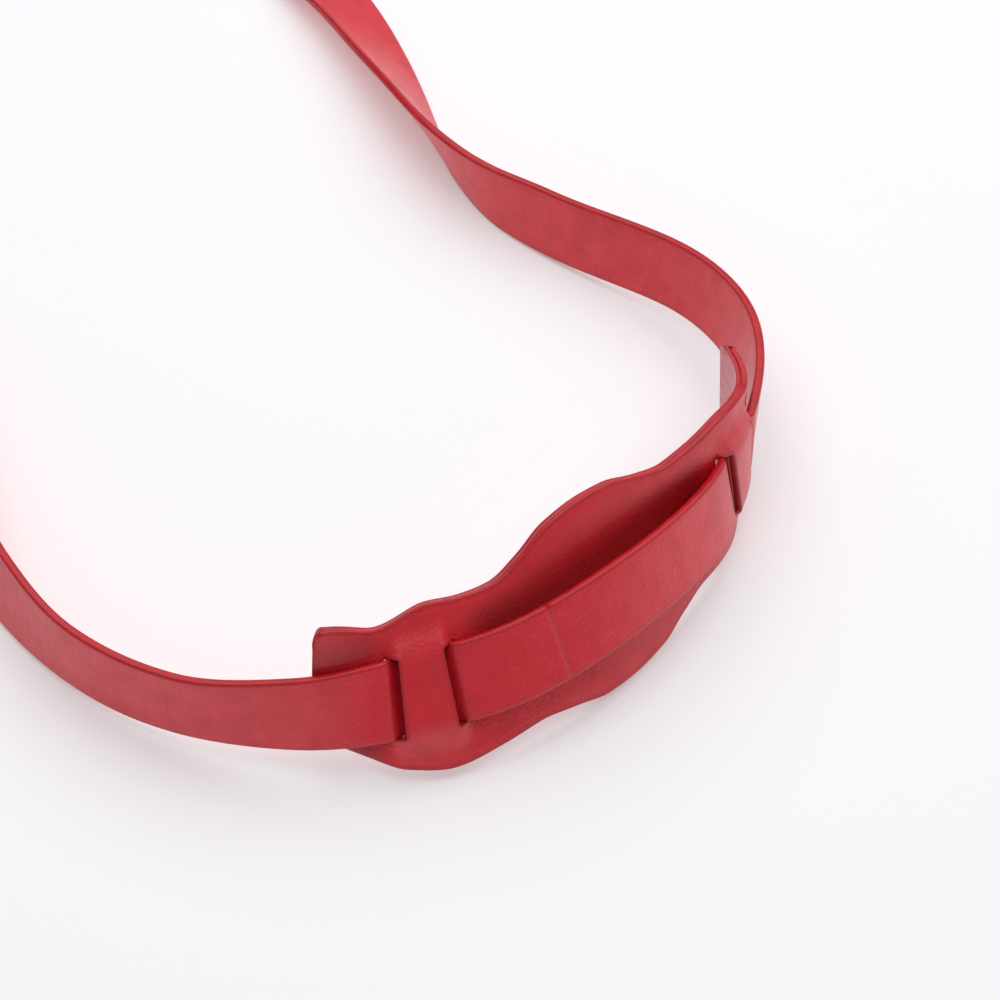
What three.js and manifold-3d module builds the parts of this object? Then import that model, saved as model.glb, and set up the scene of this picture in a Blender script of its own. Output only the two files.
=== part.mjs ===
// A leather camera neck strap, threaded through the slots of a slip-on leather shoulder pad, with a split
// ring riveted to each end. Millimetres, +Z up. It lies on a table: on edge through the pad, then rolling
// over to lie flat at both ends.
//
// Leather pieces are made flat, in strap coordinates, and then laid along the route:
//   u runs along the strap, from the left end to the right end, and is 0 at the middle of the pad
//   v runs across it, and is 0 on the strap's centre line
//   n runs through it, is 0 at the middle of the strap's thickness, and points to the outside of the bend
import * as THREE from 'three';
import { mergeVertices } from 'three/addons/utils/BufferGeometryUtils.js';
import Module from 'manifold-3d';

const wasm = await Module();
wasm.setup();

// ---- Sizes -------------------------------------------------------------------------------------------

const STRAP_WIDTH = 20;
const STRAP_THICKNESS = 2.4;
const STRAP_HALF_LENGTH = 520;
const FIT_GAP = 0.3;

const PAD_HALF_LENGTH = 86;
const TOP_LEATHER = 1.8;
const LINING = 1.0;
const GLUE_LINE = 0.2;
// The pad's half width along half its length, as [distance from its middle, half width].
const PAD_OUTLINE = [
  [0, 25],
  [10, 24.2],
  [20, 21],
  [30, 18.8],
  [40, 19.4],
  [52, 20.6],
  [63, 18.4],
  [72, 16],
  [86, 15],
];
const LEFT_TAB_RISE = 6; // each tab's end stands this far above the strap's centre line
const RIGHT_TAB_RISE = 2;
const TAB_CURL = 4.5; // the right tab has curled away from the strap, by this at its end
const TAB_CURL_LEAN = 0.15; // and by this much more for each millimetre up it

const BRIDGE_INNER = 50; // each bridge runs between these two distances from the pad's middle
const BRIDGE_OUTER = 63;
const SLOT_WIDTH = 3.8;
const SLOT_END_GAP = 0.5;
const BRIDGE_SLOPE = 6; // above and below the slots, the bridge's bulge dies away over this
const MIDDLE_BULGE = 6; // the slack strap stands off the pad's middle by this

const LAP_START = 92; // the arms lap the woven section beyond the pad, and slide there
const LAP_END = 104;
const PAD_TRAVEL = 3;
const LAP_GAP = 0.5;

const LAYER_GAP = 0.2;
const LOOP_WIDTH = 8;
const LOOP_LEATHER = 1.4;
const LOOP_LEG = 30;
const EYE_RADIUS = 2.4;
const EYE_OFFSET = 5.5; // from the strap's end to the middle of the eye
const GUARD_LEATHER = 1.6;
const GUARD_RADIUS = 13;
const GUARD_NECK = 18;

const WIRE = 1.4;
const RING_RADIUS = 8.3; // to the middle of the wire
const RING_BOW = 0.5; // the wire bows inside the eye, so its middle sits this far off the axis

const RIVET_AT = [8, 21]; // from the strap's end
const RIVET_STEM = 1.5;
const RIVET_NECK = 1.1;
const RIVET_HEAD = 3.7;
const RIVET_HEAD_HEIGHT = 1.0;
const CAP_HEIGHT = 1.3;
const RIVET_HOLE_GAP = 0.2;

const ARM_STEP = 10;
const PAD_STEP = 5; // the woven section has the same steps, so that it follows the pad

// ---- Fits that follow from them ----------------------------------------------------------------------

const HALF_WIDTH = STRAP_WIDTH / 2;
const HALF_THICKNESS = STRAP_THICKNESS / 2;
const PAD_FRONT = -HALF_THICKNESS - FIT_GAP;
const LEATHER_BACK = PAD_FRONT - TOP_LEATHER;
const LINING_FRONT = LEATHER_BACK - GLUE_LINE;
const PAD_BACK = LINING_FRONT - LINING;
const WEAVE_DROP = PAD_FRONT - HALF_THICKNESS - FIT_GAP; // where the strap's middle lies behind a bridge
const BRIDGE_LIFT = PAD_FRONT - PAD_BACK; // a bridge comes forward by the pad's thickness
const SLOT_HALF = HALF_WIDTH + SLOT_END_GAP;
const LEG_INNER = HALF_THICKNESS + LAYER_GAP;
const LEG_OUTER = LEG_INNER + LOOP_LEATHER;
const GUARD_TOP = -LEG_OUTER - LAYER_GAP;
const GUARD_BOTTOM = GUARD_TOP - GUARD_LEATHER;
const HEAD_TOP = GUARD_BOTTOM - LAYER_GAP;
const HEAD_BOTTOM = HEAD_TOP - RIVET_HEAD_HEIGHT;
const CAP_BOTTOM = LEG_OUTER + LAYER_GAP;
const END_LIFT = -HEAD_BOTTOM - HALF_THICKNESS;
const EYE_RISE = EYE_RADIUS + LOOP_LEATHER - LEG_OUTER; // the lower leg runs straight into the eye
const RING_OFFSET = RING_RADIUS - RING_BOW;
const RING_HALF_HEIGHT = WIRE + FIT_GAP / 2;
const RING_DROP = EYE_RISE - GUARD_TOP - FIT_GAP - RING_HALF_HEIGHT;
const RING_TILT = Math.asin(RING_DROP / (RING_OFFSET + RING_RADIUS + WIRE / 2)); // it lies on its guard

// ---- The route ---------------------------------------------------------------------------------------

// [u, heading in degrees, lean in degrees, height of the lower edge]. A lean of 0 stands on edge, and 90
// lies flat with the outside up.
const ROUTE = [
  [-520, -70, 90, END_LIFT],
  [-470, -70, 90, END_LIFT],
  [-430, -69, 90, 0.8],
  [-380, -68, 90, 0.1],
  [-340, -66, 88, 0.1],
  [-300, -65, 74, 0.1],
  [-270, -65, 55, 0.1],
  [-240, -67, 34, 0],
  [-210, -68, 20, 0],
  [-180, -53, 13, 0.3],
  [-150, -40, 4, 1.4],
  [-120, -23, 3, 3.6],
  [-90, -10, 16, 7.4],
  [-60, 12, 35, 11.4],
  [-30, 35, 32, 13.2],
  [0, 46, 26, 15.6],
  [30, 54, 19, 13.4],
  [60, 79, 4, 10.4],
  [90, 92, -7, 7],
  [120, 121, -14, 4.6],
  [150, 146, -15, 2.4],
  [180, 141, -11, 0.3],
  [210, 118, 11, 0],
  [240, 105, 35, 0],
  [270, 110, 57, 0.6],
  [300, 118, 72, 1.7],
  [330, 127, 84, 1.2],
  [360, 134, 90, 0.2],
  [430, 140, 90, 0.2],
  [475, 142, 90, END_LIFT],
  [520, 142, 90, END_LIFT],
];
const ROUTE_STEP = 1;

/** The smooth value of one column of a table at u, whose first column is u. */
function along(table, column, u) {
  const last = table.length - 2;
  let i = 0;
  while (i < last && u > table[i + 1][0]) i += 1;
  const slope = (k) => {
    if (k === 0 || k === table.length - 1) return 0;
    const rise = (table[k][column] - table[k - 1][column]) / (table[k][0] - table[k - 1][0]);
    const next = (table[k + 1][column] - table[k][column]) / (table[k + 1][0] - table[k][0]);
    return rise * next > 0 ? (2 * rise * next) / (rise + next) : 0;
  };
  const span = table[i + 1][0] - table[i][0];
  const t = THREE.MathUtils.clamp((u - table[i][0]) / span, 0, 1);
  const a = table[i][column];
  const b = table[i + 1][column];
  const start = (1 + 2 * t) * (1 - t) ** 2 * a + t * (1 - t) ** 2 * span * slope(i);
  return start + t * t * (3 - 2 * t) * b + t * t * (t - 1) * span * slope(i + 1);
}

const heading = (u) => THREE.MathUtils.degToRad(along(ROUTE, 1, u));
const lean = (u) => THREE.MathUtils.degToRad(along(ROUTE, 2, u));
const smooth = (x, from, to) => THREE.MathUtils.smoothstep(x, from, to);

/** The lower edge's line on the table, one point for each ROUTE_STEP, from the left end. */
const ground = [new THREE.Vector2(0, 0)];
for (let u = -STRAP_HALF_LENGTH; u < STRAP_HALF_LENGTH; u += ROUTE_STEP) {
  const angle = heading(u + ROUTE_STEP / 2);
  const step = new THREE.Vector2(Math.cos(angle), Math.sin(angle)).multiplyScalar(ROUTE_STEP);
  ground.push(ground[ground.length - 1].clone().add(step));
}

function groundPoint(u) {
  const at = THREE.MathUtils.clamp((u + STRAP_HALF_LENGTH) / ROUTE_STEP, 0, ground.length - 1.001);
  const i = Math.floor(at);
  return ground[i].clone().lerp(ground[i + 1], at - i);
}

/** The point in space of the strap coordinates u, v, n. */
function place(u, v, n) {
  const line = groundPoint(u);
  const turn = heading(u);
  const tip = lean(u);
  const up = v + HALF_WIDTH;
  const inward = up * Math.sin(tip) - n * Math.cos(tip);
  const edge = along(ROUTE, 3, u) + HALF_THICKNESS * Math.abs(Math.sin(tip));
  const height = edge + up * Math.cos(tip) + n * Math.sin(tip);
  return new THREE.Vector3(line.x - Math.sin(turn) * inward, line.y + Math.cos(turn) * inward, height);
}

// ---- Making leather ----------------------------------------------------------------------------------

/** Distances from a to b with even steps, which take in every one of the marks. */
function stations(a, b, marks, step) {
  const fixed = [a, b, ...marks].filter((x) => x >= a && x <= b).sort((x, y) => x - y);
  const all = [];
  for (let i = 0; i < fixed.length - 1; i += 1) {
    const count = Math.max(1, Math.ceil((fixed[i + 1] - fixed[i]) / step - 1e-9));
    if (fixed[i + 1] - fixed[i] < 1e-6) continue;
    for (let k = 0; k < count; k += 1) all.push(fixed[i] + ((fixed[i + 1] - fixed[i]) * k) / count);
  }
  return [...all, b];
}

/** Splits the back face's squares along the same diagonals as the front's, so that two layers nest. */
function matchDiagonals(geometry) {
  const corners = geometry.getIndex().array;
  const back = geometry.groups[5];
  for (let i = back.start; i < back.start + back.count; i += 6) {
    const [a, b, d, , c] = corners.slice(i, i + 6);
    corners.set([a, b, c, a, c, d], i);
  }
}

/** Lays a strip along the route: half(u) wide each side of middle(u), from back(u, v) to front(u, v). */
function leather({ us, half, middle = () => 0, back, front, across = 2 }) {
  const geometry = new THREE.BoxGeometry(1, 1, 1, us.length - 1, across, 1);
  matchDiagonals(geometry);
  const position = geometry.getAttribute('position');
  for (let i = 0; i < position.count; i += 1) {
    const u = us[Math.round((position.getX(i) + 0.5) * (us.length - 1))];
    const v = middle(u) + 2 * half(u) * position.getY(i);
    const n = position.getZ(i) > 0 ? front(u, v) : back(u, v);
    position.setXYZ(i, ...place(u, v, n).toArray());
  }
  geometry.computeVertexNormals();
  return geometry;
}

// ---- Cutting -----------------------------------------------------------------------------------------

function toSolid(geometry) {
  const bare = geometry.clone();
  bare.deleteAttribute('normal');
  bare.deleteAttribute('uv');
  const merged = mergeVertices(bare, 1e-5);
  const mesh = new wasm.Mesh({
    numProp: 3,
    vertProperties: new Float32Array(merged.getAttribute('position').array),
    triVerts: new Uint32Array(merged.getIndex().array),
  });
  return new wasm.Manifold(mesh);
}

function cut(geometry, cutters) {
  let solid = toSolid(geometry);
  for (const cutter of cutters) solid = solid.subtract(toSolid(cutter));
  const mesh = solid.getMesh();
  const result = new THREE.BufferGeometry();
  result.setAttribute('position', new THREE.BufferAttribute(new Float32Array(mesh.vertProperties), 3));
  result.setIndex(new THREE.BufferAttribute(new Uint32Array(mesh.triVerts), 1));
  result.computeVertexNormals();
  return result;
}

// ---- Finishes ----------------------------------------------------------------------------------------

const finish = (color, roughness, metalness) => ({ color, roughness, metalness });
const RED_LEATHER = finish(0xb4323e, 0.5, 0);
const RED_PAD_LEATHER = finish(0xa92b38, 0.52, 0);
const SUEDE_LINING = finish(0xc98286, 0.9, 0);
const NICKEL = finish(0xc9c7c1, 0.25, 1);
const STEEL = finish(0xbfc1c2, 0.3, 1);

function piece(name, geometry, look) {
  const mesh = new THREE.Mesh(geometry, new THREE.MeshStandardMaterial(look));
  mesh.name = name;
  return mesh;
}

// ---- The strap ---------------------------------------------------------------------------------------

const bothWays = (marks) => marks.flatMap((x) => [-x, x]);
const SLOT_MARKS = [BRIDGE_INNER - SLOT_WIDTH, BRIDGE_INNER, BRIDGE_OUTER, BRIDGE_OUTER + SLOT_WIDTH];
const LAP_STEP = 0.05; // a lap's shoulder is a wall this long
const LAP_HALF_GAP = LAP_GAP / 2;
const ARM_TONGUE = LAP_START + PAD_TRAVEL + FIT_GAP;
const ARM_SHOULDER = LAP_END + PAD_TRAVEL + FIT_GAP;

/** How far the strap's middle lies from its usual place as it weaves through the pad. */
function weave(u) {
  const a = Math.abs(u);
  const inner = BRIDGE_INNER - SLOT_WIDTH;
  if (a < inner) return MIDDLE_BULGE * (1 - (a / inner) ** 2);
  const drops = smooth(a, inner, BRIDGE_INNER);
  const comesBack = smooth(a, BRIDGE_OUTER, BRIDGE_OUTER + SLOT_WIDTH);
  return WEAVE_DROP * drops * (1 - comesBack);
}

function wovenSection() {
  const slotSteps = SLOT_MARKS.flatMap((x) => [x - SLOT_WIDTH / 2, x + SLOT_WIDTH / 2]);
  const marks = bothWays([...SLOT_MARKS, ...slotSteps, LAP_START, LAP_START + LAP_STEP]);
  return leather({
    us: stations(-LAP_END, LAP_END, marks, PAD_STEP),
    half: () => HALF_WIDTH,
    back: (u) => (Math.abs(u) > LAP_START + LAP_STEP / 2 ? LAP_HALF_GAP : weave(u) - HALF_THICKNESS),
    front: (u) => weave(u) + HALF_THICKNESS,
  });
}

/** One arm, from its lap at the pad to its end; side is -1 for the left and 1 for the right. */
function arm(side) {
  const marks = [ARM_SHOULDER - LAP_STEP, ARM_SHOULDER];
  const us = stations(ARM_TONGUE, STRAP_HALF_LENGTH, marks, ARM_STEP).map((u) => side * u);
  if (side < 0) us.reverse();
  return leather({
    us,
    half: () => HALF_WIDTH,
    back: () => -HALF_THICKNESS,
    front: (u) => (Math.abs(u) < ARM_SHOULDER - LAP_STEP / 2 ? -LAP_HALF_GAP : HALF_THICKNESS),
  });
}

// ---- The pad -----------------------------------------------------------------------------------------

const PAD_ACROSS = 12;

const padHalf = (u) => along(PAD_OUTLINE, 1, Math.abs(u));

/** The middle of the pad's width, which rises towards the end of each tab. */
function padMiddle(u) {
  const rise = u < 0 ? LEFT_TAB_RISE : RIGHT_TAB_RISE;
  return rise * smooth(Math.abs(u), BRIDGE_OUTER, PAD_HALF_LENGTH);
}

/** How far the pad's leather comes forward where a bridge passes over the strap. */
function bridgeBulge(u, v) {
  const a = Math.abs(u);
  const rises = smooth(a, BRIDGE_INNER - SLOT_WIDTH, BRIDGE_INNER);
  const falls = smooth(a, BRIDGE_OUTER, BRIDGE_OUTER + SLOT_WIDTH);
  const beyondSlot = smooth(Math.abs(v), SLOT_HALF, SLOT_HALF + BRIDGE_SLOPE);
  return BRIDGE_LIFT * rises * (1 - falls) * (1 - beyondSlot);
}

/** How far the right tab has curled away from the strap. */
function tabCurl(u, v) {
  const start = BRIDGE_OUTER + SLOT_WIDTH;
  const t = Math.max(0, (u - start) / (PAD_HALF_LENGTH - start));
  return -(TAB_CURL + TAB_CURL_LEAN * v) * t ** 2;
}

function slotCutters() {
  return [-1, 1].flatMap((side) => [BRIDGE_INNER - SLOT_WIDTH, BRIDGE_OUTER].map((start) => {
    const ends = [side * start, side * (start + SLOT_WIDTH)].sort((a, b) => a - b);
    return leather({
      us: stations(...ends, [], SLOT_WIDTH / 2),
      half: () => SLOT_HALF,
      back: () => PAD_BACK - BRIDGE_LIFT,
      front: () => PAD_FRONT + 2 * BRIDGE_LIFT,
      across: 4,
    });
  }));
}

function padLayer(back, front) {
  const sheet = leather({
    us: stations(-PAD_HALF_LENGTH, PAD_HALF_LENGTH, bothWays([0, ...SLOT_MARKS]), PAD_STEP),
    half: padHalf,
    middle: padMiddle,
    back: (u, v) => back + bridgeBulge(u, v) + tabCurl(u, v),
    front: (u, v) => front + bridgeBulge(u, v) + tabCurl(u, v),
    across: PAD_ACROSS,
  });
  return cut(sheet, slotCutters());
}

// ---- The ends ----------------------------------------------------------------------------------------
// Made about the middle of the strap's end: x points out of the strap, y across it and z out of its face.

function upright(shape, width) {
  const settings = { depth: width, bevelEnabled: false, curveSegments: 10 };
  const geometry = new THREE.ExtrudeGeometry(shape, settings);
  geometry.translate(0, 0, -width / 2);
  geometry.rotateX(Math.PI / 2);
  return geometry;
}

function rivetHoles() {
  const radius = RIVET_STEM + RIVET_HOLE_GAP;
  return RIVET_AT.map((x) => {
    const hole = new THREE.CylinderGeometry(radius, radius, 4 * LEG_OUTER, 20);
    hole.rotateX(Math.PI / 2);
    hole.translate(-x, 0, 0);
    return hole;
  });
}

function ringLoop() {
  const outer = EYE_RADIUS + LOOP_LEATHER;
  const shape = new THREE.Shape();
  const shoulder = EYE_OFFSET - 2 * outer;
  shape.moveTo(-LOOP_LEG, LEG_OUTER);
  shape.lineTo(shoulder, LEG_OUTER);
  shape.quadraticCurveTo(EYE_OFFSET - outer, EYE_RISE + outer, EYE_OFFSET, EYE_RISE + outer);
  shape.absarc(EYE_OFFSET, EYE_RISE, outer, Math.PI / 2, -Math.PI / 2, true);
  shape.lineTo(-LOOP_LEG, -LEG_OUTER);
  shape.lineTo(-LOOP_LEG, -LEG_INNER);
  shape.lineTo(EYE_OFFSET, -LEG_INNER);
  shape.absarc(EYE_OFFSET, EYE_RISE, EYE_RADIUS, -Math.PI / 2, Math.PI / 2, false);
  shape.quadraticCurveTo(EYE_OFFSET - outer, EYE_RISE + EYE_RADIUS, shoulder, LEG_INNER);
  shape.lineTo(-LOOP_LEG, LEG_INNER);
  return cut(upright(shape, LOOP_WIDTH), rivetHoles());
}

function ringGuard() {
  const far = EYE_OFFSET + RING_OFFSET;
  const neck = GUARD_NECK / 2;
  const shape = new THREE.Shape();
  shape.moveTo(-LOOP_LEG, -neck);
  shape.lineTo(far - GUARD_RADIUS, -neck);
  shape.absarc(far, 0, GUARD_RADIUS, -Math.PI * 0.7, Math.PI * 0.7, false);
  shape.lineTo(far - GUARD_RADIUS, neck);
  shape.lineTo(-LOOP_LEG, neck);
  const geometry = new THREE.ExtrudeGeometry(shape, {
    depth: GUARD_LEATHER,
    bevelEnabled: false,
    curveSegments: 28,
  });
  geometry.translate(0, 0, GUARD_BOTTOM);
  return cut(geometry, rivetHoles());
}

/** The middle of a split ring's wire: two flat turns, with a short step from one to the next. */
class SplitRingWire extends THREE.Curve {
  getPoint(t, target = new THREE.Vector3()) {
    const turns = THREE.MathUtils.lerp(0.06, 1.94, t);
    const angle = 2 * Math.PI * turns;
    const rise = (WIRE + FIT_GAP) * (smooth(turns, 0.95, 1.05) - 0.5);
    return target.set(RING_RADIUS * Math.cos(angle), RING_RADIUS * Math.sin(angle), rise);
  }
}

function splitRing() {
  const section = new THREE.Shape().absarc(0, 0, WIRE / 2, 0, 2 * Math.PI, false);
  const geometry = new THREE.ExtrudeGeometry(section, {
    steps: 80,
    curveSegments: 4,
    extrudePath: new SplitRingWire(),
    bevelEnabled: false,
  });
  geometry.translate(RING_OFFSET, 0, 0);
  return geometry;
}

function turned(outline) {
  const geometry = new THREE.LatheGeometry(outline.map(([r, z]) => new THREE.Vector2(r, z)), 20);
  geometry.rotateX(Math.PI / 2);
  return geometry;
}

const NECK_BOTTOM = LEG_OUTER;
const NECK_TOP = CAP_BOTTOM + CAP_HEIGHT * 0.45;

function rivetPost() {
  return turned([
    [0, HEAD_BOTTOM],
    [RIVET_HEAD * 0.75, HEAD_BOTTOM],
    [RIVET_HEAD, HEAD_BOTTOM + RIVET_HEAD_HEIGHT * 0.5],
    [RIVET_HEAD, HEAD_TOP],
    [RIVET_STEM, HEAD_TOP],
    [RIVET_STEM, NECK_BOTTOM],
    [RIVET_NECK, NECK_BOTTOM],
    [RIVET_NECK, NECK_TOP],
    [0, NECK_TOP],
  ]);
}

function rivetCap() {
  const socket = RIVET_NECK + RIVET_HOLE_GAP;
  return turned([
    [0, NECK_TOP + RIVET_HOLE_GAP],
    [socket, NECK_TOP + RIVET_HOLE_GAP],
    [socket, CAP_BOTTOM],
    [RIVET_HEAD, CAP_BOTTOM],
    [RIVET_HEAD, CAP_BOTTOM + CAP_HEIGHT * 0.45],
    [RIVET_HEAD * 0.75, CAP_BOTTOM + CAP_HEIGHT],
    [0, CAP_BOTTOM + CAP_HEIGHT],
  ]);
}

/** The hardware of one end, placed on the strap's end. */
function end(side, word) {
  const group = new THREE.Group();
  const end = side * STRAP_HALF_LENGTH;
  group.position.copy(place(end, 0, 0));
  group.rotation.z = heading(end) + (side < 0 ? Math.PI : 0);
  group.add(piece(`${word}_ring_loop`, ringLoop(), RED_LEATHER));
  group.add(piece(`${word}_ring_guard`, ringGuard(), RED_LEATHER));
  const swivel = new THREE.Group();
  swivel.position.set(EYE_OFFSET, 0, EYE_RISE);
  swivel.rotation.y = RING_TILT;
  swivel.add(piece(`${word}_split_ring`, splitRing(), STEEL));
  group.add(swivel);
  RIVET_AT.forEach((x, i) => {
    const post = piece(`${word}_rivet_post_${i + 1}`, rivetPost(), NICKEL);
    const cap = piece(`${word}_rivet_cap_${i + 1}`, rivetCap(), NICKEL);
    post.position.x = -x;
    cap.position.x = -x;
    group.add(post, cap);
  });
  return group;
}

/** Rivet holes of one end, placed in the strap. */
function strapHoles(side) {
  const angle = heading(side * STRAP_HALF_LENGTH) + (side < 0 ? Math.PI : 0);
  const middle = place(side * STRAP_HALF_LENGTH, 0, 0);
  return rivetHoles().map((hole) => hole.rotateZ(angle).translate(middle.x, middle.y, middle.z));
}

// ---- The whole strap ---------------------------------------------------------------------------------

const laid = new THREE.Group();
laid.add(piece('strap_left_arm', cut(arm(-1), strapHoles(-1)), RED_LEATHER));
laid.add(piece('strap_woven_section', wovenSection(), RED_LEATHER));
laid.add(piece('strap_right_arm', cut(arm(1), strapHoles(1)), RED_LEATHER));
laid.add(piece('pad_top_leather', padLayer(LEATHER_BACK, PAD_FRONT), RED_PAD_LEATHER));
laid.add(piece('pad_lining', padLayer(PAD_BACK, LINING_FRONT), SUEDE_LINING));
laid.add(end(-1, 'left'));
laid.add(end(1, 'right'));

// The origin is the middle of the whole strap's box, at the table.
laid.updateMatrixWorld(true);
const box = new THREE.Box3().setFromObject(laid, true);
const centre = box.getCenter(new THREE.Vector3());
laid.position.set(-centre.x, -centre.y, -box.min.z);

const cameraStrap = new THREE.Group();
cameraStrap.add(laid);
export default cameraStrap;
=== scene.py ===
from math import ceil, cos, pi, radians, sin

import bmesh
import bpy
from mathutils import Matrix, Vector


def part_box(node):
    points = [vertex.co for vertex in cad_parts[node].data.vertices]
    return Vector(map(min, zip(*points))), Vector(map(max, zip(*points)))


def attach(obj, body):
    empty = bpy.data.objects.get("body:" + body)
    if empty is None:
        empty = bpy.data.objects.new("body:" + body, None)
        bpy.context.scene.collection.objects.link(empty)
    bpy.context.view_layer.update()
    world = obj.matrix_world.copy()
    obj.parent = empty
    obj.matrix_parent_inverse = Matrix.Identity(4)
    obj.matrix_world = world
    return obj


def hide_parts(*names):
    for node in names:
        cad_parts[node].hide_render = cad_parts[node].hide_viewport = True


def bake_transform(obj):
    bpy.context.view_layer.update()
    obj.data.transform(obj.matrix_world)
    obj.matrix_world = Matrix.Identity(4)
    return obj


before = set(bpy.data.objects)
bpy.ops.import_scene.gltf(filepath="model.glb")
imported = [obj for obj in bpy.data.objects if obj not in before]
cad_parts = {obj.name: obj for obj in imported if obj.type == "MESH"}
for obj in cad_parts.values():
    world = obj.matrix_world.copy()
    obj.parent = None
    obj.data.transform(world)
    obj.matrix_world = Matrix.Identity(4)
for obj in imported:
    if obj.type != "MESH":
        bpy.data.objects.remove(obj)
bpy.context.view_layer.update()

MM = 0.001

# A leather camera neck strap, threaded through the slots of a slip-on shoulder pad.
#
# Leather is cut flat, in millimetres, and then laid along the route:
#   u runs along the strap and is 0 at the middle of the pad
#   v runs across it and is 0 on the strap's centre line
#   n runs through it, is 0 in the middle of the strap and points to the outside of the bend

# ---- Sizes, in millimetres -----------------------------------------------------------------

STRAP_HALF_WIDTH = 10
STRAP_HALF_THICKNESS = 1.2
STRAP_HALF_LENGTH = 520
SEAM_AT = -22          # a press line across the strap; it is made in two lengths that meet there

PAD_HALF_LENGTH = 86
PAD_FRONT = -1.5
PAD_LEATHER_BACK = -3.3
LINING_FRONT = -3.32
LINING_BACK = -4.5
PAD_OUTLINE = [[0, 25], [10, 24.2], [20, 21], [30, 18.8], [40, 19.4], [52, 20.6],
               [63, 18.4], [72, 16], [86, 15]]
LEFT_TAB_RISE = 6
RIGHT_TAB_RISE = 2
TAB_CURL = 4.5         # the right tab's end has curled back this far
TAB_CURL_LEAN = 0.15   # and this much more for each millimetre up it
BRIDGE_INNER = 50
BRIDGE_OUTER = 63
SLOT_WIDTH = 3.8
SLOT_HALF = 9.75       # a little under half the strap's width, so that the slot hugs it
BRIDGE_LIFT = 3.0
BRIDGE_SLOPE = 6       # the bridge's bulge dies away over this, above and below the slots
MIDDLE_BULGE = 6
WEAVE_DROP = -3.0      # the strap passes behind a bridge by this

END_LIFT = 4.6         # the strap's ends lie on their rivets and guards

# [u, heading in degrees, lean in degrees, height of the lower edge]; a lean of 0 stands on edge
ROUTE = [
    [-520, -70, 90, END_LIFT],
    [-470, -70, 90, END_LIFT],
    [-430, -69, 90, 0.8],
    [-380, -68, 90, 0.1],
    [-340, -66, 88, 0.1],
    [-300, -65, 74, 0.1],
    [-270, -65, 55, 0.1],
    [-240, -67, 34, 0],
    [-210, -68, 20, 0],
    [-180, -53, 13, 0.3],
    [-150, -40, 4, 1.4],
    [-120, -23, 3, 3.6],
    [-90, -10, 16, 7.4],
    [-60, 12, 35, 11.4],
    [-30, 35, 32, 13.2],
    [0, 46, 26, 15.6],
    [30, 54, 19, 13.4],
    [60, 79, 4, 10.4],
    [90, 92, -7, 7],
    [120, 121, -14, 4.6],
    [150, 146, -15, 2.4],
    [180, 141, -11, 0.3],
    [210, 118, 11, 0],
    [240, 105, 35, 0],
    [270, 110, 57, 0.6],
    [300, 118, 72, 1.7],
    [330, 127, 84, 1.2],
    [360, 134, 90, 0.2],
    [430, 140, 90, 0.2],
    [475, 142, 90, END_LIFT],
    [520, 142, 90, END_LIFT],
]

# ---- Camera --------------------------------------------------------------------------------

LOOK_AT = Vector((98.0, -137.1, 0)) * MM
CAMERA_HEIGHT_ANGLE = radians(48)
CAMERA_DISTANCE = 0.8

camera_data = bpy.data.cameras.new("camera")
camera_data.lens = 112
camera_data.sensor_width = 36
camera_data.clip_start = 10 * MM
camera = bpy.data.objects.new("camera", camera_data)
bpy.context.collection.objects.link(camera)
to_camera = Vector((0, -cos(CAMERA_HEIGHT_ANGLE), sin(CAMERA_HEIGHT_ANGLE)))
camera.location = LOOK_AT + to_camera * CAMERA_DISTANCE
camera.rotation_euler = (pi / 2 - CAMERA_HEIGHT_ANGLE, 0, 0)
bpy.context.scene.camera = camera


# ---- The route -----------------------------------------------------------------------------

def smooth(x, start, end):
    """0 before start, 1 after end, and an even S between them."""
    t = min(max((x - start) / (end - start), 0), 1)
    return t * t * (3 - 2 * t)


def along(table, column, u):
    """The smooth value at u of one column of a table whose first column is u."""
    last = len(table) - 2
    i = 0
    while i < last and u > table[i + 1][0]:
        i += 1

    def slope(k):
        if k in (0, len(table) - 1):
            return 0
        rise = (table[k][column] - table[k - 1][column]) / (table[k][0] - table[k - 1][0])
        after = (table[k + 1][column] - table[k][column]) / (table[k + 1][0] - table[k][0])
        return 2 * rise * after / (rise + after) if rise * after > 0 else 0

    span = table[i + 1][0] - table[i][0]
    t = min(max((u - table[i][0]) / span, 0), 1)
    a, b = table[i][column], table[i + 1][column]
    start = (1 + 2 * t) * (1 - t) ** 2 * a + t * (1 - t) ** 2 * span * slope(i)
    return start + t * t * (3 - 2 * t) * b + t * t * (t - 1) * span * slope(i + 1)


# The line of the lower edge on the table, a point a millimetre. It starts where the left arm ends.
arm_low, arm_high = (Vector(corner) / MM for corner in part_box("strap_left_arm"))
start_heading = radians(ROUTE[0][1])
ground = [Vector((arm_low.x, arm_high.y - 2 * STRAP_HALF_WIDTH * cos(start_heading)))]
for step in range(2 * STRAP_HALF_LENGTH):
    angle = radians(along(ROUTE, 1, step + 0.5 - STRAP_HALF_LENGTH))
    ground.append(ground[-1] + Vector((cos(angle), sin(angle))))


def laid(u, v, n):
    """The place in millimetres of the strap coordinates u, v, n."""
    at = min(max(u + STRAP_HALF_LENGTH, 0), len(ground) - 1.001)   # stays short of the last point
    i = int(at)
    line = ground[i].lerp(ground[i + 1], at - i)
    heading, lean = radians(along(ROUTE, 1, u)), radians(along(ROUTE, 2, u))
    up = v + STRAP_HALF_WIDTH
    inward = up * sin(lean) - n * cos(lean)
    edge = along(ROUTE, 3, u) + STRAP_HALF_THICKNESS * abs(sin(lean))
    height = edge + up * cos(lean) + n * sin(lean)
    return Vector((line.x - sin(heading) * inward, line.y + cos(heading) * inward, height))


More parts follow.
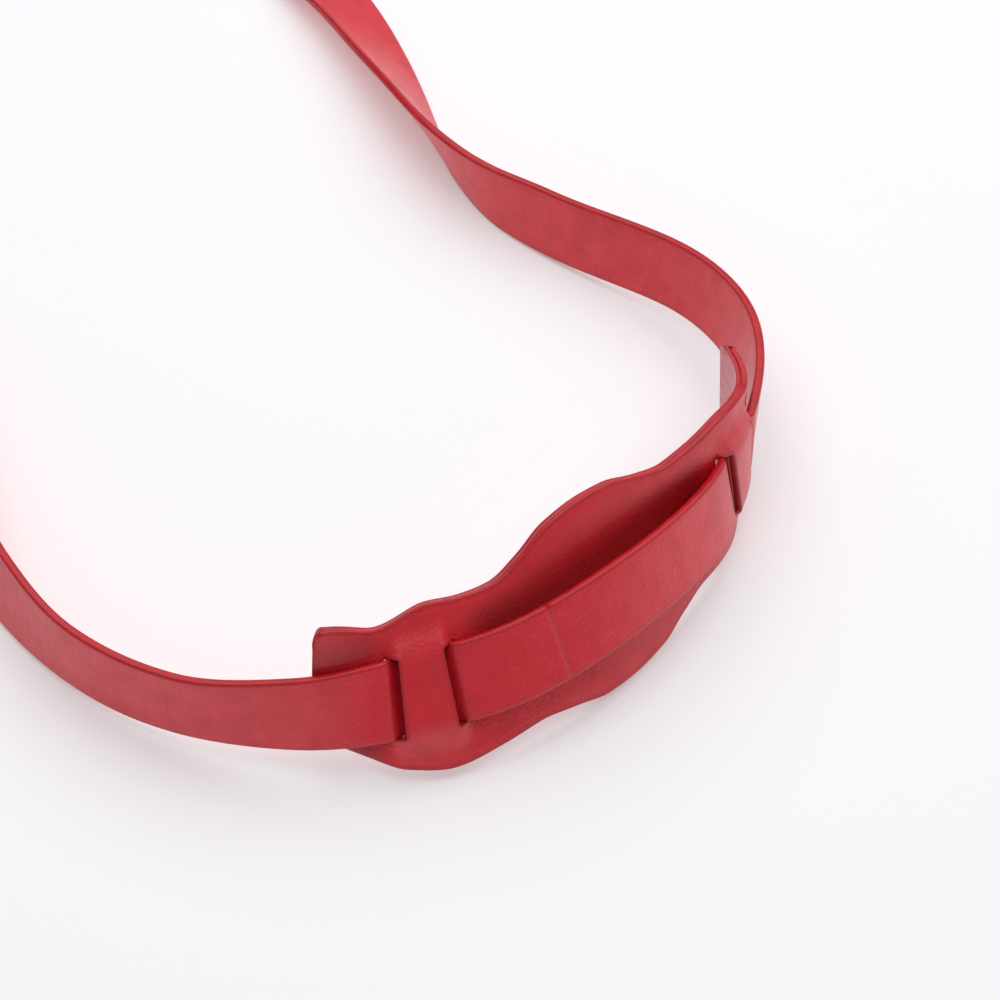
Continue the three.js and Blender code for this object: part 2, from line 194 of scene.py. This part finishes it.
def weave(u):
    """How far the strap stands off its own line, as it goes in and out of the slots."""
    far = abs(u)
    slot = BRIDGE_INNER - SLOT_WIDTH
    if far < slot:
        return MIDDLE_BULGE * (1 - (far / slot) ** 2)
    comes_back = smooth(far, BRIDGE_OUTER, BRIDGE_OUTER + SLOT_WIDTH)
    return WEAVE_DROP * smooth(far, slot, BRIDGE_INNER) * (1 - comes_back)


def bridge(u, v):
    """How far a bridge of the pad comes forward over the strap."""
    far = abs(u)
    comes = smooth(far, BRIDGE_INNER - SLOT_WIDTH, BRIDGE_INNER)
    goes = 1 - smooth(far, BRIDGE_OUTER, BRIDGE_OUTER + SLOT_WIDTH)
    return BRIDGE_LIFT * comes * goes * (1 - smooth(abs(v), SLOT_HALF, SLOT_HALF + BRIDGE_SLOPE))


def pad_half(u):
    """Half the pad's width."""
    return along(PAD_OUTLINE, 1, abs(u))


def pad_middle(u):
    """The middle of the pad's width; it rises towards the tabs."""
    rise = LEFT_TAB_RISE if u < 0 else RIGHT_TAB_RISE
    return rise * smooth(abs(u), BRIDGE_OUTER, PAD_HALF_LENGTH)


def pad_lift(u, v):
    """How far the pad stands off its flat face: forward in a bridge, and back in the right tab's curl."""
    start = BRIDGE_OUTER + SLOT_WIDTH
    t = max(0, (u - start) / (PAD_HALF_LENGTH - start))
    return bridge(u, v) - (TAB_CURL + TAB_CURL_LEAN * v) * t ** 2


# ---- Materials -----------------------------------------------------------------------------

def paint(code):
    """An sRGB hex colour as linear red, green, blue and alpha."""
    parts = [int(code[i:i + 2], 16) / 255 for i in (1, 3, 5)]
    return [p / 12.92 if p <= 0.04045 else ((p + 0.055) / 1.055) ** 2.4 for p in parts] + [1]


def add(tree, kind, settings=None, inputs=None):
    """Adds a node with its settings; an input is a value, or the socket that it comes from."""
    node = tree.nodes.new(kind)
    for name, value in (settings or {}).items():
        setattr(node, name, value)
    for name, value in (inputs or {}).items():
        if isinstance(value, bpy.types.NodeSocket):
            tree.links.new(value, node.inputs[name])
        else:
            node.inputs[name].default_value = value
    return node


def new_material(name):
    """A material with an empty node tree."""
    material = bpy.data.materials.new(name)
    material.use_nodes = True
    tree = material.node_tree
    tree.nodes.clear()
    return material, tree


def shade(tree, shader_inputs):
    """The one shader of a material, joined to its output."""
    shader = add(tree, "ShaderNodeBsdfPrincipled", inputs=shader_inputs)
    add(tree, "ShaderNodeOutputMaterial", inputs={"Surface": shader.outputs["BSDF"]})


def ramp(tree, source, stops):
    """A colour ramp: stops are (place, linear colour)."""
    node = add(tree, "ShaderNodeValToRGB", inputs={"Fac": source})
    band = node.color_ramp
    while len(band.elements) < len(stops):
        band.elements.new(0.5)
    for element, (place, colour) in zip(band.elements, stops):
        element.position = place
        element.color = colour
    return node.outputs["Color"]


GRAIN_CELL = 0.8 * MM      # real pebble grain is 0.3 to 0.5 mm; drawn coarser so that it shows
PORE_CELL = 0.35 * MM      # real pores are about 0.1 mm; drawn coarser so that they show
MOTTLE_PATCH = 7 * MM
CREASE_STEP = 5 * MM
CREASE_STRETCH = 0.12      # creases run across the strap, and are this much finer along it
IRON_LINE_AT = 1.6 * MM    # the creasing iron's line, from the edge
IRON_LINE_HALF = 0.45 * MM
EDGE_DYE_FROM = 0.2 * MM
EDGE_DYE_TO = 1.5 * MM
PAINTED_SHADE_RED = "#A4040E"    # painted shade: leather where another layer lies over it
BRUSH_RUN = 4 * MM
SUEDE_STROKE = 6 * MM
SUEDE_NAP = 0.4 * MM
SCUFF = 0.9 * MM           # real polishing scuffs are finer; drawn coarser so that they show
PAPER_TOOTH = 1.5 * MM


def dyed_cowhide(name, light, middle, dark, edge, roughness):
    """Aniline-dyed cowhide, plated smooth and waxed. A fine pebble grain, pale rubbed patches, soft cross
    creases where it has been bent, and a creasing-iron line and richer dye beside the painted edge. Where
    another layer lies over it, it is painted a deep red: painted shade for the shadow of that layer."""
    material, tree = new_material(name)
    lay = add(tree, "ShaderNodeUVMap", {"uv_map": "lay"}).outputs["UV"]
    place = add(tree, "ShaderNodeTexCoord").outputs["Object"]
    rim = add(tree, "ShaderNodeAttribute", {"attribute_name": "rim"}).outputs["Fac"]

    mottle = add(tree, "ShaderNodeTexNoise", inputs={
        "Vector": place, "Scale": 1 / MOTTLE_PATCH, "Detail": 5, "Roughness": 0.6}).outputs["Fac"]
    body = ramp(tree, mottle, [(0.3, paint(dark)), (0.5, paint(middle)), (0.72, paint(light))])
    beside_edge = add(tree, "ShaderNodeMapRange", {"interpolation_type": "SMOOTHSTEP"}, {
        "Value": rim, "From Min": EDGE_DYE_FROM, "From Max": EDGE_DYE_TO,
        "To Min": 1, "To Max": 0}).outputs["Result"]
    colour = add(tree, "ShaderNodeMix", {"data_type": "RGBA"}, {
        0: beside_edge, 6: body, 7: paint(edge)}).outputs[2]

    # Painted shade: a deep red where another layer lies over the leather.
    under = add(tree, "ShaderNodeAttribute", {"attribute_name": "painted_shade"}).outputs["Fac"]
    colour = add(tree, "ShaderNodeMix", {"data_type": "RGBA"}, {
        0: under, 6: colour, 7: paint(PAINTED_SHADE_RED)}).outputs[2]

    grain = add(tree, "ShaderNodeTexVoronoi", {"feature": "SMOOTH_F1"}, {
        "Vector": lay, "Scale": 1 / GRAIN_CELL, "Smoothness": 0.6}).outputs["Distance"]
    pores = add(tree, "ShaderNodeTexNoise", inputs={
        "Vector": lay, "Scale": 1 / PORE_CELL, "Detail": 3, "Roughness": 0.65}).outputs["Fac"]
    across = add(tree, "ShaderNodeMapping", inputs={
        "Vector": lay, "Scale": (1, CREASE_STRETCH, 1)}).outputs["Vector"]
    creases = add(tree, "ShaderNodeTexNoise", inputs={
        "Vector": across, "Scale": 1 / CREASE_STEP, "Detail": 4, "Roughness": 0.7,
        "Distortion": 0.3}).outputs["Fac"]

    wear = add(tree, "ShaderNodeMapRange", inputs={
        "Value": mottle, "From Min": 0.3, "From Max": 0.7,
        "To Min": roughness + 0.07, "To Max": roughness - 0.06}).outputs["Result"]
    rough = add(tree, "ShaderNodeMath", {"operation": "MULTIPLY_ADD"}, {
        0: pores, 1: 0.12, 2: wear}).outputs["Value"]

    from_line = add(tree, "ShaderNodeMath", {"operation": "SUBTRACT"}, {
        0: rim, 1: IRON_LINE_AT}).outputs["Value"]
    off_line = add(tree, "ShaderNodeMath", {"operation": "ABSOLUTE"}, {0: from_line}).outputs["Value"]
    iron_line = add(tree, "ShaderNodeMapRange", {"interpolation_type": "SMOOTHSTEP"}, {
        "Value": off_line, "From Min": 0, "From Max": IRON_LINE_HALF,
        "To Min": 0, "To Max": 1}).outputs["Result"]

    bump = add(tree, "ShaderNodeBump", inputs={
        "Height": creases, "Strength": 0.5, "Distance": 0.8 * MM}).outputs["Normal"]
    bump = add(tree, "ShaderNodeBump", inputs={
        "Height": iron_line, "Strength": 0.5, "Distance": 0.12 * MM, "Normal": bump}).outputs["Normal"]
    bump = add(tree, "ShaderNodeBump", inputs={
        "Height": grain, "Strength": 0.6, "Distance": 0.22 * MM, "Normal": bump}).outputs["Normal"]
    bump = add(tree, "ShaderNodeBump", inputs={
        "Height": pores, "Strength": 0.4, "Distance": 0.08 * MM, "Normal": bump}).outputs["Normal"]
    shade(tree, {"Base Color": colour, "Roughness": rough, "IOR": 1.46, "Normal": bump,
                 "Specular IOR Level": 0.6, "Coat Weight": 0.5, "Coat Roughness": 0.32})
    return material


def painted_edge(name, light, dark):
    """Acrylic edge paint, three coats rubbed down. Smoother and glossier than the grain side, with a slow
    waviness from the brush. The edges in the slots are the same in a deeper red, which is painted shade."""
    material, tree = new_material(name)
    place = add(tree, "ShaderNodeTexCoord").outputs["Object"]
    runs = add(tree, "ShaderNodeTexNoise", inputs={
        "Vector": place, "Scale": 1 / BRUSH_RUN, "Detail": 3}).outputs["Fac"]
    colour = ramp(tree, runs, [(0.35, paint(dark)), (0.65, paint(light))])
    rough = add(tree, "ShaderNodeMapRange", inputs={
        "Value": runs, "From Min": 0.3, "From Max": 0.7, "To Min": 0.32, "To Max": 0.44}).outputs["Result"]
    bump = add(tree, "ShaderNodeBump", inputs={
        "Height": runs, "Strength": 0.3, "Distance": 0.3 * MM}).outputs["Normal"]
    shade(tree, {"Base Color": colour, "Roughness": rough, "IOR": 1.49, "Normal": bump})
    return material


def suede(name, light, dark):
    """Split cowhide with a raised nap, for the pad's lining: matt, with brushed light and dark strokes."""
    material, tree = new_material(name)
    lay = add(tree, "ShaderNodeUVMap", {"uv_map": "lay"}).outputs["UV"]
    strokes = add(tree, "ShaderNodeMapping", inputs={"Vector": lay, "Scale": (0.4, 1, 1)}).outputs["Vector"]
    brushed = add(tree, "ShaderNodeTexNoise", inputs={
        "Vector": strokes, "Scale": 1 / SUEDE_STROKE, "Detail": 6, "Roughness": 0.7}).outputs["Fac"]
    nap = add(tree, "ShaderNodeTexNoise", inputs={
        "Vector": lay, "Scale": 1 / SUEDE_NAP, "Detail": 4, "Roughness": 0.8}).outputs["Fac"]
    colour = ramp(tree, brushed, [(0.32, paint(dark)), (0.68, paint(light))])
    bump = add(tree, "ShaderNodeBump", inputs={
        "Height": nap, "Strength": 0.6, "Distance": 0.15 * MM}).outputs["Normal"]
    shade(tree, {"Base Color": colour, "Roughness": 0.92, "Normal": bump,
                 "Sheen Weight": 0.4, "Sheen Roughness": 0.4, "Specular IOR Level": 0.25})
    return material


def polished_metal(name, base, roughness, scuff):
    """Plated or drawn steel, polished. Fine scuffs break up the shine."""
    material, tree = new_material(name)
    place = add(tree, "ShaderNodeTexCoord").outputs["Object"]
    scuffs = add(tree, "ShaderNodeTexNoise", inputs={
        "Vector": place, "Scale": 1 / SCUFF, "Detail": 6, "Roughness": 0.75}).outputs["Fac"]
    rough = add(tree, "ShaderNodeMapRange", inputs={
        "Value": scuffs, "From Min": 0.3, "From Max": 0.75,
        "To Min": roughness, "To Max": roughness + scuff}).outputs["Result"]
    tone = ramp(tree, scuffs, [(0.3, paint(base)), (0.8, [c * 0.85 for c in paint(base)[:3]] + [1])])
    bump = add(tree, "ShaderNodeBump", inputs={
        "Height": scuffs, "Strength": 0.12, "Distance": 0.02 * MM}).outputs["Normal"]
    shade(tree, {"Base Color": tone, "Metallic": 1, "Roughness": rough, "Normal": bump})
    return material


def seamless_paper(name, base, glow):
    """White background paper: matt, with hardly any tooth. It gives off a little light of its own, which
    keeps the shadows pale."""
    material, tree = new_material(name)
    place = add(tree, "ShaderNodeTexCoord").outputs["Object"]
    tooth = add(tree, "ShaderNodeTexNoise", inputs={
        "Vector": place, "Scale": 1 / PAPER_TOOTH, "Detail": 3}).outputs["Fac"]
    bump = add(tree, "ShaderNodeBump", inputs={
        "Height": tooth, "Strength": 0.04, "Distance": 0.05 * MM}).outputs["Normal"]
    shade(tree, {"Base Color": paint(base), "Roughness": 0.9, "Specular IOR Level": 0.1, "Normal": bump,
                 "Emission Color": paint("#FFFFFF"), "Emission Strength": glow})
    return material


STRAP_COWHIDE = dyed_cowhide("red cowhide, waxed", light="#EA1E36", middle="#E4162C",
                             dark="#D81024", edge="#C2071A", roughness=0.42)
PAD_COWHIDE = dyed_cowhide("red cowhide, pad panel", light="#E81B30", middle="#E01428",
                           dark="#D40E22", edge="#BE0618", roughness=0.44)
EDGE_PAINT = painted_edge("red edge paint", "#CC0C1E", "#B80818")
# The edges inside the slots are painted a deeper red, for the shade in the slots.
SLOT_EDGE_SHADE = painted_edge("red edge, painted shade in the slots", "#AC0C1A", "#940812")
PAD_SUEDE = suede("dusty pink suede lining", "#EDA4A9", "#D27C83")
SPRING_STEEL = polished_metal("polished spring steel", "#C4C5C6", roughness=0.18, scuff=0.18)
NICKEL_PLATE = polished_metal("polished nickel plate", "#CFCBC2", roughness=0.12, scuff=0.16)


# ---- Making leather ------------------------------------------------------------------------

FINE_STEP = 1.5        # along the pad and beside it
COARSE_STEP = 2.5      # along the rest of the strap
FINE_WITHIN = 110
LEVEL_FACE = 0.85      # a face turned further than this from level is part of an edge
SLOT_WALL_REACH = 0.7  # a slot's rounded rims reach this far out of it


def stations(start, end, marks, step):
    """Distances from start to end with even steps, which take in every one of the marks."""
    fixed = sorted({start, end, *(m for m in marks if start < m < end)})
    found = []
    for a, b in zip(fixed, fixed[1:]):
        count = max(1, ceil((b - a) / step - 1e-9))
        found += [a + (b - a) * k / count for k in range(count)]
    return found + [end]


def cut_flat(us, rows, width_at, front, back, holes=()):
    """A flat panel of squares in u, v, n, with a wall all round it. width_at(u, row) is a row's v, and
    holes are (u from, u to, v from, v to)."""
    bm = bmesh.new()
    columns, last_row = len(us) - 1, len(rows) - 1
    bmesh.ops.create_grid(bm, x_segments=columns, y_segments=last_row, size=1)
    for vert in bm.verts:
        u = us[round((vert.co.x + 1) / 2 * columns)]
        row = rows[round((vert.co.y + 1) / 2 * last_row)]
        vert.co = (u, width_at(u, row), front)
    gone = [f for f in bm.faces if any(
        a < f.calc_center_median().x < b and c < f.calc_center_median().y < d for a, b, c, d in holes)]
    bmesh.ops.delete(bm, geom=gone, context="FACES")
    grown = bmesh.ops.extrude_face_region(bm, geom=list(bm.faces))["geom"]
    back_verts = [g for g in grown if isinstance(g, bmesh.types.BMVert)]
    bmesh.ops.translate(bm, verts=back_verts, vec=(0, 0, back - front))
    bmesh.ops.recalc_face_normals(bm, faces=bm.faces)
    return bm


def is_wall(face):
    """Whether a face of the flat panel stands upright."""
    return abs(face.normal.z) < 0.5


def round_corners(bm, radius, test):
    """Rounds the upright corners that the test picks."""
    upright = [e for e in bm.edges if abs(e.verts[0].co.z - e.verts[1].co.z) > 0.5
               and len(e.link_faces) == 2 and e.calc_face_angle() > 1 and test(e.verts[0].co)]
    bmesh.ops.bevel(bm, geom=upright, offset=radius, affect="EDGES", segments=5, profile=0.5,
                    material=-1)


def round_rims(bm, radius, keep_sharp_at=None):
    """Rounds both rims of the panel's walls, apart from one square end."""
    bm.normal_update()
    rims = [e for e in bm.edges if len(e.link_faces) == 2
            and is_wall(e.link_faces[0]) != is_wall(e.link_faces[1])
            and not all(v.co.x == keep_sharp_at for v in e.verts)]
    bmesh.ops.bevel(bm, geom=rims, offset=radius, affect="EDGES", segments=3, profile=0.5, material=-1)
    bm.normal_update()


def lay_down(bm, name, lift, rim_at, materials, painted_shade_at, slots=()):
    """Marks the faces, the painted edge, the painted shade and the slots' edges (painted shade too), then
    lays the flat panel along the route. The materials are for the faces, the edge and the slots."""
    lay = bm.loops.layers.uv.new("lay")
    rim = bm.verts.layers.float.new("rim")
    # Painted shade: how dark each point is painted where another layer lies over it.
    painted_shade = bm.verts.layers.float.new("painted_shade")
    for vert in bm.verts:
        vert[rim] = rim_at(vert.co.x, vert.co.y) * MM
        vert[painted_shade] = painted_shade_at(vert.co.x, vert.co.y)
    for face in bm.faces:
        face.smooth = True
        at = face.calc_center_median()
        in_slot = any(
            a < at.x + SLOT_WALL_REACH and at.x - SLOT_WALL_REACH < b
            and c < at.y + SLOT_WALL_REACH and at.y - SLOT_WALL_REACH < d for a, b, c, d in slots)
        face.material_index = 0 if abs(face.normal.z) > LEVEL_FACE else 2 if in_slot else 1
        for loop in face.loops:
            loop[lay].uv = (loop.vert.co.x * MM, loop.vert.co.y * MM)
    for vert in bm.verts:
        u, v, n = vert.co
        vert.co = laid(u, v, n + lift(u, v)) * MM
    bmesh.ops.recalc_face_normals(bm, faces=bm.faces)
    return make_piece(bm, name, materials)


def make_piece(bm, name, materials):
    """An object at the origin, with its shape in its mesh."""
    mesh = bpy.data.meshes.new(name)
    bm.to_mesh(mesh)
    bm.free()
    piece = bpy.data.objects.new(name, mesh)
    bpy.context.collection.objects.link(piece)
    for material in materials:
        mesh.materials.append(material)
    return piece


# ---- The strap -----------------------------------------------------------------------------

STRAP_ROWS = [-10, -8.3, -6, -3, 0, 3, 6, 8.3, 10]
STRAP_ROUNDING = 0.75
STRAP_CORNER = 2
SLOT_SHADE = 0.35        # how dark the painted shade on the strap is, in the slots and behind a bridge
MARKS = [side * (at + off) for side in (-1, 1) for at in (BRIDGE_INNER, BRIDGE_OUTER)
         for off in (-SLOT_WIDTH, 0, SLOT_WIDTH)]


def strap_painted_shade(u, v):
    """Painted shade: how dark the strap is painted where it lies in the slots and behind a bridge."""
    far = abs(u)
    inner, outer = BRIDGE_INNER - SLOT_WIDTH, BRIDGE_OUTER + SLOT_WIDTH
    return SLOT_SHADE * smooth(far, inner - 0.5, inner + 2) * (1 - smooth(far, outer - 2, outer + 0.5))


def strap_length(name, start, end):
    """One length of the strap, in fine steps near the pad and coarser ones beyond."""
    near = stations(max(start, -FINE_WITHIN), min(end, FINE_WITHIN), MARKS, FINE_STEP)
    before = stations(start, near[0], [], COARSE_STEP)[:-1] if start < near[0] else []
    after = stations(near[-1], end, [], COARSE_STEP)[1:] if end > near[-1] else []
    bm = cut_flat(before + near + after, STRAP_ROWS, lambda u, row: row,
                  STRAP_HALF_THICKNESS, -STRAP_HALF_THICKNESS)
    round_corners(bm, STRAP_CORNER, lambda co: abs(co.x) > STRAP_HALF_LENGTH - 1)
    round_rims(bm, STRAP_ROUNDING, keep_sharp_at=SEAM_AT)
    return lay_down(bm, name, lambda u, v: weave(u), lambda u, v: min(
        STRAP_HALF_WIDTH - abs(v), STRAP_HALF_LENGTH - abs(u)), [STRAP_COWHIDE, EDGE_PAINT], strap_painted_shade)


strap_left = strap_length("strap_left_length", -STRAP_HALF_LENGTH, SEAM_AT)
strap_right = strap_length("strap_right_length", SEAM_AT, STRAP_HALF_LENGTH)
# The places 150 mm and 104 mm out along the strap are worked out but not used; each length keeps its shape
# in its mesh.
for piece, side in ((strap_left, -1), (strap_right, 1)):
    laid(side * 150, 0, 0) * MM
    laid(side * 104, 0, 0) * MM
    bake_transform(piece)
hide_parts("strap_left_arm", "strap_woven_section")
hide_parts("strap_right_arm")

# ---- The shoulder pad ----------------------------------------------------------------------

ROWS_OUT = 3           # rows from the slot's end out to the pad's edge
SLOT_ROWS = 6          # rows along a slot
PAD_ROWS = list(range(-ROWS_OUT - SLOT_ROWS // 2, ROWS_OUT + SLOT_ROWS // 2 + 1))
SLOT_CORNER = 0.5
PAD_CORNER = 2.5
LEATHER_ROUNDING = 0.55
LINING_ROUNDING = 0.3
TAB_SHADE = 0.6          # how dark the painted shade is on a tab, against 1 in the pad's middle


def pad_row(u, row):
    """A row of the pad: level with the slots along them, and spreading to the outline beyond."""
    half_slot = SLOT_ROWS / 2
    top, bottom = pad_middle(u) + pad_half(u), pad_middle(u) - pad_half(u)
    if abs(row) <= half_slot:
        level = row / half_slot * SLOT_HALF
    else:
        out = (abs(row) - half_slot) / ROWS_OUT
        edge = top if row > 0 else bottom
        level = (1 - out) * SLOT_HALF * (1 if row > 0 else -1) + out * edge
    even = bottom + (top - bottom) * (row + half_slot + ROWS_OUT) / (2 * (half_slot + ROWS_OUT))
    ends = smooth(abs(u), BRIDGE_OUTER + SLOT_WIDTH + 1, PAD_HALF_LENGTH - 4)
    return level + (even - level) * ends


SLOTS = []
for side in (-1, 1):
    for at in (BRIDGE_INNER - SLOT_WIDTH, BRIDGE_OUTER):
        ends = sorted((side * at, side * (at + SLOT_WIDTH)))
        SLOTS.append((ends[0], ends[1], -SLOT_HALF, SLOT_HALF))


def pad_rim(u, v):
    """Distance from the nearest edge of the pad, at its outline or at a slot."""
    top, bottom = pad_middle(u) + pad_half(u), pad_middle(u) - pad_half(u)
    reach = [top - v, v - bottom, PAD_HALF_LENGTH - abs(u)]
    for a, b, c, d in SLOTS:
        reach.append(max(a - u, u - b, c - v, v - d, 0))
    return min(reach)


def pad_painted_shade(u, v):
    """Painted shade on the pad: 1 where the strap lies over it, fading out beside it, and further out on
    the upper side; and a weaker band on the tabs.
    """
    inner, outer = BRIDGE_INNER - SLOT_WIDTH, BRIDGE_OUTER + SLOT_WIDTH
    middle = 1 - smooth(abs(u), inner - 12, inner - 1)
    tab = TAB_SHADE * smooth(abs(u), outer, outer + 5)
    return middle * (1 - smooth(abs(v - 3), 8, 14)) + tab * (1 - smooth(abs(v), 14, 22))


def pad_layer(name, front, back, materials, rounding):
    """One layer of the pad, between two depths."""
    us = stations(-PAD_HALF_LENGTH, PAD_HALF_LENGTH, MARKS, FINE_STEP)
    bm = cut_flat(us, PAD_ROWS, pad_row, front, back, SLOTS)
    round_corners(bm, SLOT_CORNER, lambda co: abs(co.x) < PAD_HALF_LENGTH - 1)
    round_corners(bm, PAD_CORNER, lambda co: abs(co.x) > PAD_HALF_LENGTH - 1)
    round_rims(bm, rounding)
    return lay_down(bm, name, pad_lift, pad_rim, materials, pad_painted_shade, SLOTS)


pad_panel = pad_layer("pad_panel", PAD_FRONT, PAD_LEATHER_BACK,
                      [PAD_COWHIDE, EDGE_PAINT, SLOT_EDGE_SHADE], LEATHER_ROUNDING)
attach(pad_panel, "pad")
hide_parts("pad_top_leather")

pad_back = pad_layer("pad_suede", LINING_FRONT, LINING_BACK,
                     [PAD_SUEDE, EDGE_PAINT, SLOT_EDGE_SHADE], LINING_ROUNDING)
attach(pad_back, "pad")
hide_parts("pad_lining")


# ---- The ends ------------------------------------------------------------------------------

SHARP_EDGE = 0.9       # in radians; edges turned more than this are rounded
INSIDE_EDGE = 4 * MM   # the ends have no iron line and no edge dye, as if all of them were this far in


def softened(name, node, body, materials, rounding):
    """A finer copy of a CAD piece: merged, its flat faces joined, and its edges rounded."""
    bm = bmesh.new()
    bm.from_mesh(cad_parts[node].data)
    bmesh.ops.remove_doubles(bm, verts=bm.verts, dist=0.01 * MM)
    bmesh.ops.dissolve_limit(bm, angle_limit=radians(1), verts=bm.verts, edges=bm.edges)
    if rounding:
        edges = [e for e in bm.edges if len(e.link_faces) == 2 and e.calc_face_angle() > SHARP_EDGE]
        bmesh.ops.bevel(bm, geom=edges, offset=rounding * MM, affect="EDGES", segments=3, profile=0.5,
                        material=-1, clamp_overlap=True)
    bmesh.ops.triangulate(bm, faces=[f for f in bm.faces if len(f.verts) > 4])
    lay = bm.loops.layers.uv.new("lay")
    rim = bm.verts.layers.float.new("rim")
    for vert in bm.verts:
        vert[rim] = INSIDE_EDGE
    for face in bm.faces:
        face.smooth = True
        for loop in face.loops:
            loop[lay].uv = (loop.vert.co.x, loop.vert.co.y)
        if len(materials) > 1:
            face.material_index = 1 if abs(face.normal.z) < LEVEL_FACE else 0
    piece = make_piece(bm, name, materials)
    piece.data.set_sharp_from_angle(angle=radians(40))
    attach(piece, body)
    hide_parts(node)


for side in ("left", "right"):
    softened(f"{side}_ring_strap", f"{side}_ring_loop", "strap",
             [STRAP_COWHIDE], rounding=0.3)
    softened(f"{side}_lug_guard", f"{side}_ring_guard", "strap",
             [PAD_COWHIDE, EDGE_PAINT], rounding=0.4)
    softened(f"{side}_key_ring", f"{side}_split_ring", f"{side}_ring",
             [SPRING_STEEL], rounding=0)
    for number in (1, 2):
        for part in ("post", "cap"):
            softened(f"{side}_rivet_{part}_{number}_plated", f"{side}_rivet_{part}_{number}", "strap",
                     [NICKEL_PLATE], rounding=0.15)

# ---- Floor and light, in metres and watts --------------------------------------------------

FLOOR_HALF = 3

floor_mesh = bmesh.new()
bmesh.ops.create_grid(floor_mesh, x_segments=1, y_segments=1, size=FLOOR_HALF)
floor = make_piece(floor_mesh, "floor", [seamless_paper("white seamless paper", "#E4E4E6", glow=0.27)])


def soft_box(name, offset, size, power, colour):
    """A square soft box at an offset from the pad, turned to face it."""
    light = bpy.data.lights.new(name, "AREA")
    light.shape = "SQUARE"
    light.size = size
    light.energy = power
    light.color = paint(colour)[:3]
    lamp = bpy.data.objects.new(name, light)
    bpy.context.collection.objects.link(lamp)
    lamp.location = LOOK_AT + Vector(offset)
    lamp.rotation_euler = (-Vector(offset)).to_track_quat("-Z", "Y").to_euler()


soft_box("overhead soft box", offset=(0.15, 0.45, 1.3), size=2.4, power=26, colour="#FFFFFF")
world = bpy.data.worlds.new("studio")
world.use_nodes = True
bpy.context.scene.world = world
sky = world.node_tree.nodes["Background"]
sky.inputs["Color"].default_value = paint("#F7F9FF")
sky.inputs["Strength"].default_value = 0.24
bpy.context.scene.view_settings.view_transform = "Standard"
